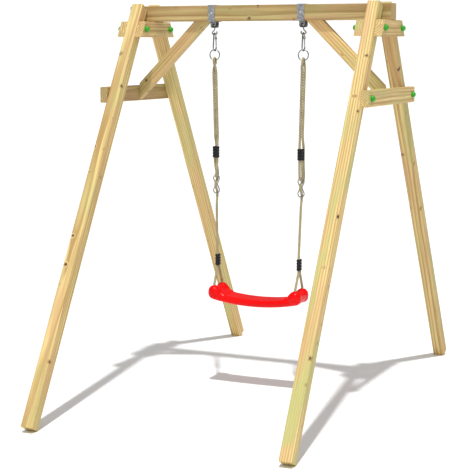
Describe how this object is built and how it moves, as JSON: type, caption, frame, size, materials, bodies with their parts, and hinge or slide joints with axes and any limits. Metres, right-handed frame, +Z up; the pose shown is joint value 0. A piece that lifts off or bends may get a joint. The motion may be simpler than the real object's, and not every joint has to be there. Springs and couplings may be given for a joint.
{
  "type": "swing set",
  "caption": "Timber A-frame swing set with one moulded seat on adjustable ropes, steel hooks and rings.",
  "frame": {"origin": "on the ground, under the middle of the beam", "axes": "+X along the beam to the right, +Y from front to back, +Z up"},
  "size_m": [1.654, 2.7204, 2.248],
  "materials": {
    "timber": "planed, pressure-treated pine",
    "zinc_steel": "galvanised, dull",
    "cap_plastic": "glossy green",
    "bearing_nylon": "matt black",
    "hook_steel": "zinc-plated, bright",
    "rope_fibre": "twisted tan fibre",
    "sleeve_plastic": "ribbed black plastic",
    "seat_plastic": "glossy moulded red"
  },
  "bodies": {
    "stand": {"front_leg_left": "timber", "rear_leg_left": "timber", "front_leg_right": "timber", "rear_leg_right": "timber", "swing_beam": "timber", "top_tie_outer_left": "timber", "top_tie_outer_right": "timber", "top_tie_inner_left": "timber", "top_tie_inner_right": "timber", "low_tie_left": "timber", "low_tie_right": "timber", "brace_left": "timber", "brace_right": "timber", "frame_bolts": "zinc_steel", "frame_nuts": "zinc_steel", "coach_screws": "zinc_steel", "brace_screws": "zinc_steel", "hanger_strap_left": "zinc_steel", "hanger_strap_right": "zinc_steel", "strap_screws_left": "zinc_steel", "strap_screws_right": "zinc_steel", "hanger_saddle_left": "zinc_steel", "hanger_saddle_right": "zinc_steel", "saddle_rivets_left": "zinc_steel", "saddle_rivets_right": "zinc_steel", "pivot_pin_left": "zinc_steel", "pivot_pin_right": "zinc_steel", "pin_clip_left": "zinc_steel", "pin_clip_right": "zinc_steel", "cap_bases": "cap_plastic", "bolt_caps": "cap_plastic", "bearing_block_left": "bearing_nylon", "bearing_block_right": "bearing_nylon"},
    "swing": {"swing_hook_left": "hook_steel", "swing_hook_right": "hook_steel", "snap_hook_left": "hook_steel", "snap_hook_right": "hook_steel", "gate_pin_left": "hook_steel", "gate_pin_right": "hook_steel", "rope_ring_left": "hook_steel", "rope_ring_right": "hook_steel", "rope_adjuster_left": "hook_steel", "rope_adjuster_right": "hook_steel", "rope_left": "rope_fibre", "rope_right": "rope_fibre", "upper_sleeve_left": "sleeve_plastic", "upper_sleeve_right": "sleeve_plastic", "lower_sleeve_left": "sleeve_plastic", "lower_sleeve_right": "sleeve_plastic", "swing_seat": "seat_plastic"},
    "gate_left": {"snap_gate_left": "hook_steel"},
    "gate_right": {"snap_gate_right": "hook_steel"}
  },
  "joints": [
    {"name": "swing_pivot", "type": "hinge", "parent": "stand", "child": "swing", "pos_m": [0, 0, 2.123], "axis": [1, 0, 0], "range_deg": [-60, 60]},
    {"name": "gate_left_hinge", "type": "hinge", "parent": "swing", "child": "gate_left", "pos_m": [-0.276, 0.01496, 2.04442], "axis": [1, 0, 0], "range_deg": [-25, 0], "stiffness_Nm_per_rad": 0.3, "springref_deg": 9.74},
    {"name": "gate_right_hinge", "type": "hinge", "parent": "swing", "child": "gate_right", "pos_m": [0.276, 0.01496, 2.04442], "axis": [1, 0, 0], "range_deg": [-25, 0], "stiffness_Nm_per_rad": 0.3, "springref_deg": 9.74}
  ]
}
